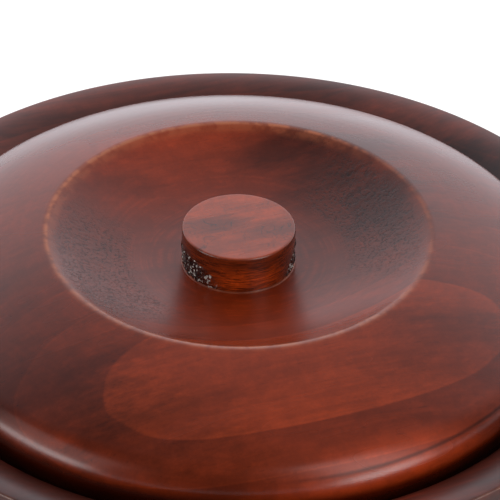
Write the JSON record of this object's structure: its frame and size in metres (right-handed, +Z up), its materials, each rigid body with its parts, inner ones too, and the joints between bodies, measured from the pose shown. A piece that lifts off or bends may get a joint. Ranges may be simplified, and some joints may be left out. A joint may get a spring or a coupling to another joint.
{
  "type": "lidded salad bowl",
  "caption": "Turned wooden serving bowl with a broad rim, a drop-in domed lid seated on an inner ledge, and a short round knob in the lid's dished top.",
  "frame": {"origin": "centre of the foot ring's underside, on the turning axis", "axes": "+Z up along the turning axis; -Y towards the viewer of the picture"},
  "size_m": [0.2804, 0.2804, 0.1227],
  "materials": {
    "bowl": "red-brown stain under clear lacquer",
    "lid": "red-brown stain under clear lacquer",
    "lid_knob": "red-brown stain under clear lacquer",
    "knob_peg": "bare pale wood"
  },
  "bodies": {
    "bowl_body": {"bowl": "bowl"},
    "lid_body": {"lid": "lid", "lid_knob": "lid_knob", "knob_peg": "knob_peg"}
  },
  "joints": [
    {"name": "lid_lift", "type": "slide", "parent": "bowl_body", "child": "lid_body", "axis": [0, 0, 1], "range_m": [0, 0.15]}
  ]
}
